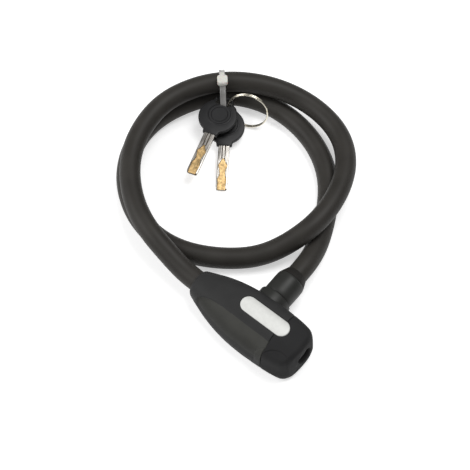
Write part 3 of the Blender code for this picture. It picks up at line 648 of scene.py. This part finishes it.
def make_head():
    """Upper shell, base cover and nose cap, each hollow, from the same outer form."""
    shell_end = SEAM_X - GAP / 2
    body = head_body("shell_skin", SHELL_FORM, TAIL_X, shell_end, 0.5, hollow=scoop, soft_edges=(shell_end,))
    room = head_body("room", SHELL_FORM, TAIL_X + 5.0, SEAM_X + 3, 4.0, inset=WALL, count=ROOM_POINTS)
    cut(body, room, rod("tail_bore", "X", TAIL_X - 1, TAIL_X + 9, TAIL_BORE_R, (0, TAIL_Y, AXIS_Z)))
    base = link("base_skin", body.data.copy())
    slice_body(body, BASE_Z + GAP / 2, keep_above=True)
    slice_body(base, BASE_Z - GAP / 2, keep_above=False)
    collar_hole = rod("collar_hole", "Y", 8, 24, COLLAR_HOLE_R, (PLUG_X, 0, AXIS_Z), 64)
    cut(body, collar_hole, label_recess("recess"))
    for number, place in enumerate(SCREWS[:3]):
        cut(base, screw_recess(f"recess_{number}", place))
    nose = head_body("nose_skin", NOSE_FORM, SEAM_X + GAP / 2, NOSE_X, 0.4, hollow=nose_side,
                     soft_edges=(SEAM_X + GAP / 2,))
    nose_room = head_body("nose_room", NOSE_FORM, SEAM_X - 3, NOSE_X - WALL, 3.0, inset=WALL,
                          count=ROOM_POINTS)
    opening = turned("key_opening", KEY_OPENING, "X", (NOSE_X, LOCK_Y, AXIS_Z))
    cut(nose, nose_room, opening, label_recess("nose_recess"), screw_recess("nose_screw", SCREWS[3]))
    finish_with(smooth(bevel(body, EDGE_BEVEL)), SHELL_SHADED, "shell_plastic", "head", "upper_shell")
    paint_scoop_highlight(body)
    finish_with(smooth(bevel(base, EDGE_BEVEL)), SHELL_SHADED, "shell_plastic", "head", "base_cover")
    finish_with(smooth(bevel(nose, EDGE_BEVEL)), NOSE_SHADED_PLASTIC, "shell_plastic", "head", "nose_cap")


def paint_scoop_highlight(body):
    """Gives the scooped faces of the upper shell a lighter copy of its plastic, a painted highlight."""
    body.data.materials.append(SCOOP_HIGHLIGHT_PLASTIC)
    for face in body.data.polygons:
        x, y, z = face.center / MM
        sunk = scoop(min(x, SCOOP_HIGHLIGHT_X), y, z)
        if z > SCOOP_HIGHLIGHT_Z and sunk > SCOOP_DEPTH * SCOOP_HIGHLIGHT_SHARE:
            face.material_index = 1


def label_recess(name):
    """Cutter for the pocket that the label plate sits in, a little larger than the plate."""
    size = (LABEL_SIZE[0] + 2 * GAP, LABEL_SIZE[1] + 2 * GAP)
    return extruded(name, stadium(LABEL_CENTRE, *size), LABEL_FLOOR_Z, 33.0)


def screw_recess(name, place):
    """Cutter for a casing screw's stepped hole in the underside."""
    return turned(name, SCREW_RECESS, "Z", (*place, 0), 32)


def make_label():
    """A blank plate, gently crowned, with a rolled edge."""
    rows = []
    for inset, height in LABEL_EDGE:
        outline = stadium(LABEL_CENTRE, LABEL_SIZE[0] - 2 * inset, LABEL_SIZE[1] - 2 * inset)
        rows.append([Vector((x, y, height)) for x, y in outline])
    label = from_bmesh("label_face", grid_body(rows))
    finish_with(smooth(label, 50), LABEL_SHADED, "label_white", "head", "label_plate")


def make_collar():
    """The round boss in the head's side that the plug enters."""
    collar = turned("collar_ring", COLLAR_PROFILE, "Y", (PLUG_X, 0, AXIS_Z), 80, closed_ends=False)
    finish_with(smooth(collar), SMOOTH_PLASTIC, "collar_plastic", "head", "socket_collar")


def make_sleeve():
    """The plug's moulded sleeve, and the tapered ring at its end where the cable enters, painted darker as
    shade.
    """
    centre = (PLUG_X, 0, AXIS_Z)
    sleeve = turned("plug_sleeve_skin", SLEEVE_PROFILE, "Y", centre, 72, closed_ends=False)
    ring = turned("plug_ring_skin", END_RING_PROFILE, "Y", centre, 72, closed_ends=False)
    finish_with(smooth(sleeve), SMOOTH_PLASTIC, "collar_plastic", "plug", "plug_sleeve")
    finish_with(smooth(ring), END_RING_SHADED_PLASTIC, "collar_plastic", "plug", "plug_end_ring")
    return [sleeve, ring]


# ---------------------------------------------------------------- tie, keys and ring

TIE_CENTRE = (-133.5, 131.3)
TIE_AZIMUTH = -47.3
# The strap's loop as distance across the strands and height, and a point well inside it
STRAP_LOOP = (
    (0, 34.8), (6.5, 33.6), (10.2, 28.8), (11.2, 22.5), (14.4, 17), (16.2, 10.5), (14, 4.6), (8, 0.9),
    (2, 0.8), (-5, 1.4), (-9.2, 5.5), (-9.6, 14), (-9.4, 22), (-9.2, 28.5), (-5.8, 33.2),
)
STRAP_INSIDE = (1.5, 17)
STRAP_WIDTH = 4.2
STRAP_THICKNESS = 1.2
# Side view of the ratchet head, and how far it reaches at four places across its width
TIE_HEAD = (
    (-4.0, -1.2), (-2.8, -2.6), (2.8, -2.6), (4.0, -1.4), (4.0, 1.6), (2.8, 2.9), (-2.8, 2.9), (-4.0, 1.5),
)
TIE_HEAD_SHARES = ((-3.8, 0.66), (-2.5, 1.0), (2.5, 1.0), (3.8, 0.66))
TIE_TAIL = ((-4.8, -0.6, -1.6), (0, 0.6, 1.6))
# Where the head and the tail sit in the loop's own plane, and how far they are turned, in degrees
TIE_HEAD_PLACE = ((5.0, 34.7, 0), -17)
TIE_TAIL_PLACE = ((3.8, 36.3, 0), 4)

# Keys, each in its own frame: the slot is at the origin and x runs to the blade's tip
KEY_HEAD_R = 14.3
KEY_HEAD_THICKNESS = 4.0
# The blade's width, thickness and length, and the slot's length across and width along the key
KEY_BLADE = (8.3, 2.4, 35.0)
KEY_SLOT = (13.5, 6.4)
KEY_SLOT_AT = -0.6
KEY_TOP_AT = -5.7
KEY_MID_AT = 11.8
KEY_BOSS_AT = (10.4, 1.0)
KEY_BOSS_R = 9.4
KEY_GROOVE_RADII = (8.2, 6.1)
KEY_GROOVE = 0.3
KEY_NECK_AT = 28.0
KEY_NECK = 5.7
BLADE_CORNER = 2.2
BLADE_GROOVE_Y = 1.1
BLADE_GROOVE_END = 10.5
# Milled track of the blade: distance from the neck, and half width on either side
TRACK = (
    (10.0, 0.3, 0.3), (11.2, 1.0, 1.0), (13.0, 1.5, 1.6), (14.6, 3.0, 3.1), (16.6, 3.2, 3.2),
    (18.4, 2.2, 2.3), (21.0, 1.9, 1.8), (23.6, 1.9, 1.9), (25.4, 2.5, 3.1), (27.0, 3.2, 3.3),
    (29.4, 3.0, 2.8), (31.5, 2.6, 3.1), (33.5, 2.9, 2.9), (36.5, 2.5, 2.5),
)
TRACK_DEPTH = 0.4
TRACK_WALL = 0.4
# Where each key lies: its slot's centre, the way it points and the height of its tip
KEY_SLOTS = ((-124.2, 121.6, 17.2), (-120.6, 120.4, 11.0))
KEY_AZIMUTHS = (-72.0, -54.0)
KEY_TIPS_Z = (13.0, 1.7)

RING_CENTRE = (-107.1, 129.0, 15.9)
RING_R = 15.0
RING_WIRE_R = 0.62
RING_AZIMUTH = 24.0
RING_LEAN = 12.7
# The wire's turns, the angle they start at, and how fast it steps across from one turn to the other
RING_TURNS = 1.9
RING_START = 50
RING_STEPS = 72
RING_SHIFT = 0.14


def upright_frame(centre, azimuth):
    """Place of a shape whose x runs level at an azimuth and whose y is up."""
    along = Vector((math.cos(math.radians(azimuth)), math.sin(math.radians(azimuth)), 0))
    up = Vector((0, 0, 1))
    turn = Matrix((along, up, along.cross(up))).transposed().to_4x4()
    turn.translation = Vector((centre[0], centre[1], 0)) * MM
    return turn


def moved_and_turned(place, degrees):
    """A turn about Z followed by a move in millimetres."""
    return Matrix.Translation(Vector(place) * MM) @ Matrix.Rotation(math.radians(degrees), 4, "Z")


def make_tie():
    """Nylon tie: a ribbed strap round both strands, its ratchet head and the cut tail."""
    curve = smooth_curve([(s, z, 0) for s, z in STRAP_LOOP], 12, cyclic=True)
    loop = even_points(curve, 0.55, cyclic=True)
    inside = Vector((*STRAP_INSIDE, 0))
    half_w, half_t = STRAP_WIDTH / 2, STRAP_THICKNESS / 2
    ribs = [
        (-half_w, -0.8 * half_t), (-half_w, 0.8 * half_t), (-half_w + 0.25, half_t),
        (-half_w + 0.75, half_t), (-half_w + 1.0, 0.45 * half_t), (half_w - 1.0, 0.45 * half_t),
        (half_w - 0.75, half_t), (half_w - 0.25, half_t), (half_w, 0.8 * half_t),
        (half_w, -0.8 * half_t), (half_w - 0.25, -half_t), (-half_w + 0.25, -half_t),
    ]
    rows = []
    for k, place in enumerate(loop):
        ahead = loop[(k + 1) % len(loop)] - loop[k - 1]
        out = Vector((ahead.y, -ahead.x, 0)).normalized()
        outward = out if out.dot(place - inside) > 0 else -out
        rows.append([place + outward * t + Vector((0, 0, w)) for w, t in ribs])
    strap = from_bmesh("tie_strap", grid_body(rows, closed_rows=True))
    rows = [[(s * share, t, w) for s, t in TIE_HEAD] for w, share in TIE_HEAD_SHARES]
    head = from_bmesh("tie_head", grid_body(rows))
    bevel(head, 0.6, 25, 3)
    head.data.transform(moved_and_turned(*TIE_HEAD_PLACE))
    tail = box("tie_tail", *TIE_TAIL)
    bevel(tail, 0.2, 60, 2)
    tail.data.transform(moved_and_turned(*TIE_TAIL_PLACE))
    combine(head, tail, "UNION")
    place = upright_frame(TIE_CENTRE, TIE_AZIMUTH)
    for piece, finish in ((strap, STRAP_NYLON), (head, NYLON)):
        piece.data.transform(place)
        finish_with(smooth(piece, 40), finish, "tie_nylon", "head", "zip_tie")


def key_frame(slot, azimuth, tip_z):
    """Place of a key: its origin is the slot, its x points at the tip, and it slopes down to the tip."""
    run = KEY_NECK_AT + KEY_BLADE[2]
    slope = math.asin((slot[2] - tip_z) / run)
    turn = Matrix.Rotation(math.radians(azimuth), 4, "Z") @ Matrix.Rotation(slope, 4, "Y")
    return Matrix.Translation(Vector(slot) * MM) @ turn


def key_outline():
    """Outline of a key's moulded head in its own frame."""
    shoulder = arc((KEY_TOP_AT + 5.0, 2.6), 5.0, 95, 180, 10)
    side = arc((KEY_MID_AT, 0), KEY_HEAD_R, 134, 38, 36)
    upper = [(KEY_NECK_AT, KEY_NECK), (KEY_NECK_AT - 3.2, KEY_NECK + 0.3)] + side[::-1] + shoulder
    lower = [(x, -y) for x, y in reversed(upper)]
    return upper + lower


def make_key_head(number, place):
    """Moulded grip with rounded edges, and on both sides a round boss with two ring grooves."""
    half = KEY_HEAD_THICKNESS / 2
    head = extruded(f"key_{number}_bow", key_outline(), -half + 0.25, half - 0.25)
    bevel(head, 0.9, 50, 4)
    boss_centre = (*KEY_BOSS_AT, 0)
    for side in (1, -1):
        levels = [(0.0, KEY_BOSS_R), (half - 0.2, KEY_BOSS_R - 0.1), (half + 0.02, KEY_BOSS_R - 0.4),
                  (half + 0.05, KEY_BOSS_R - 0.7)]
        boss = turned("boss", [(p * side, r) for p, r in levels], "Z", boss_centre, 72)
        combine(head, boss, "UNION")
        for radius in KEY_GROOVE_RADII:
            inner, outer = radius - KEY_GROOVE, radius + KEY_GROOVE
            groove = [(half - KEY_GROOVE, radius), (half + 0.02, inner), (half + 1, inner),
                      (half + 1, outer), (half + 0.02, outer)]
            ring = turned("groove", [(p * side, r) for p, r in groove], "Z", boss_centre, 72,
                          closed_ends=False)
            cut(head, ring)
    slot = [(y + KEY_SLOT_AT, x) for x, y in stadium((0, 0), *KEY_SLOT, 14)]
    half_width, half_thickness = KEY_BLADE[0] / 2 + 0.15, KEY_BLADE[1] / 2 + 0.15
    root = KEY_NECK_AT - 9.0
    pocket = box("pocket", (root, -half_width, -half_thickness), (50, half_width, half_thickness))
    cut(head, extruded("slot", slot, -6, 6), pocket)
    head.data.transform(place)
    finish_with(smooth(head), KEY_PLASTIC, "key_plastic", f"key_{number}", f"key_{number}_head")


def smooth_track(spare):
    """Outline of the track in the key's frame, widened by a spare margin."""
    left = smooth_curve([(KEY_NECK_AT + s, a + spare, 0) for s, a, _ in TRACK], 4)
    right = smooth_curve([(KEY_NECK_AT + s, -b - spare, 0) for s, _, b in TRACK], 4)
    return [(p.x, p.y) for p in left] + [(p.x, p.y) for p in reversed(right)]


def make_key_blade(number, place):
    """Flat steel blade with two fine grooves at the neck and a wavy milled track down to its tip."""
    width, thickness, length = KEY_BLADE
    root, tip = KEY_NECK_AT - 8.7, KEY_NECK_AT + length
    half = width / 2
    low_corner = arc((tip - BLADE_CORNER, -half + BLADE_CORNER), BLADE_CORNER, -90, -25, 5)
    high_corner = arc((tip - BLADE_CORNER, half - BLADE_CORNER), BLADE_CORNER, 25, 90, 5)
    outline = [(root, -half)] + low_corner + high_corner + [(root, half)]
    blade = extruded(f"key_{number}_steel", outline, -thickness / 2, thickness / 2)
    bevel(blade, 0.4, 60, 3)
    floor = thickness / 2 - TRACK_DEPTH
    for side in (1, -1):
        low, high = sorted((side * floor, side * 5))
        for y in (-BLADE_GROOVE_Y, BLADE_GROOVE_Y):
            groove_end = KEY_NECK_AT + BLADE_GROOVE_END
            cut(blade, box("groove", (KEY_NECK_AT - 3, y - 0.4, low), (groove_end, y + 0.4, high)))
        rows = []
        for depth, spare in ((floor, 0.0), (thickness / 2 + 0.1, TRACK_WALL)):
            rows.append([(x, y, side * depth) for x, y in smooth_track(spare)])
        cut(blade, from_bmesh("track", grid_body(rows)))
    layer = blade.data.uv_layers.new(name="UVMap")
    for loop in blade.data.loops:
        x, y, _ = blade.data.vertices[loop.vertex_index].co
        layer.data[loop.index].uv = (x, y)
    blade.data.materials.clear()
    for finish in (NICKEL, GOLD, GROOVE_SHADE_STEEL):
        blade.data.materials.append(finish)
    gold, groove_shade = 1, 2
    # The groove floors and the walls of the track and grooves take the dark finish, painted shade in these
    # recesses
    for face in blade.data.polygons:
        x, y, z = face.center / MM
        if abs(y) > half - 0.5 or x > tip - 0.2:
            continue
        if abs(abs(z) - floor) < 0.03 and abs(face.normal.z) > 0.9:
            in_track = x > KEY_NECK_AT + BLADE_GROOVE_END - 0.1 or abs(y) < 0.3
            face.material_index = gold if in_track else groove_shade
        elif abs(z) < thickness / 2 - 0.02 and x > KEY_NECK_AT:
            face.material_index = groove_shade
    blade.data.transform(place)
    smooth(blade)
    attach(blade, f"key_{number}")
    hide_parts(f"key_{number}_blade")


def make_ring():
    """Split ring: nearly two turns of wire lying side by side, with a short step where they change places."""
    azimuth = math.radians(RING_AZIMUTH)
    along = Vector((math.cos(azimuth), math.sin(azimuth), 0))
    up = Matrix.Rotation(math.radians(RING_LEAN), 3, -along) @ Vector((0, 0, 1))
    across = along.cross(up)
    side = RING_WIRE_R + 0.03
    whole = RING_STEPS * RING_TURNS
    points = []
    for k in range(round(whole) + 1):
        angle = 2 * math.pi * k / RING_STEPS + math.radians(RING_START)
        shift = side * max(-1.0, min(1.0, RING_SHIFT * (k - whole / 2)))
        points.append(Vector(RING_CENTRE) + RING_R * (math.cos(angle) * along + math.sin(angle) * up)
                      + shift * across)
    ring = from_bmesh("wire_ring", grid_body(tube_rows(points, RING_WIRE_R, 14)))
    finish_with(smooth(ring), RING_STEEL, "ring_steel", "ring", "split_ring")


def paint_frame():
    """Procedural materials for the CAD nodes that stay as they are."""
    # The key rotor takes the black painted shade of the key opening
    finishes = {
        "lock_body": CASTING, "cylinder_housing": BRASS, "key_rotor": ROTOR_SHADE_BLACK, "rotor_clip": STEEL,
        "drive_cam": STEEL, "latch_bolt": STEEL, "latch_cover_plate": STEEL, "latch_spring": STEEL,
        "plug_pin": STEEL, "plug_rope_end": ROPE, "anchor_rope_end": ROPE, "anchor_ferrule": STEEL,
        "anchor_screw_1": DARK_STEEL, "anchor_screw_2": DARK_STEEL,
    }
    for name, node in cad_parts.items():
        kind = finishes.get(name)
        if kind is None:
            kind = BRASS if "pin_" in name else STEEL
        if name.startswith("casing_screw"):
            kind = DARK_STEEL
        node.data.materials.clear()
        node.data.materials.append(kind)


make_camera()
make_studio()
cable, centreline = make_cable()
paint_frame()
make_head()
make_label()
make_collar()
sleeve_pieces = make_sleeve()
make_tie()
for index in (0, 1):
    frame_of_key = key_frame(KEY_SLOTS[index], KEY_AZIMUTHS[index], KEY_TIPS_Z[index])
    make_key_head(index + 1, frame_of_key)
    make_key_blade(index + 1, frame_of_key)
make_ring()
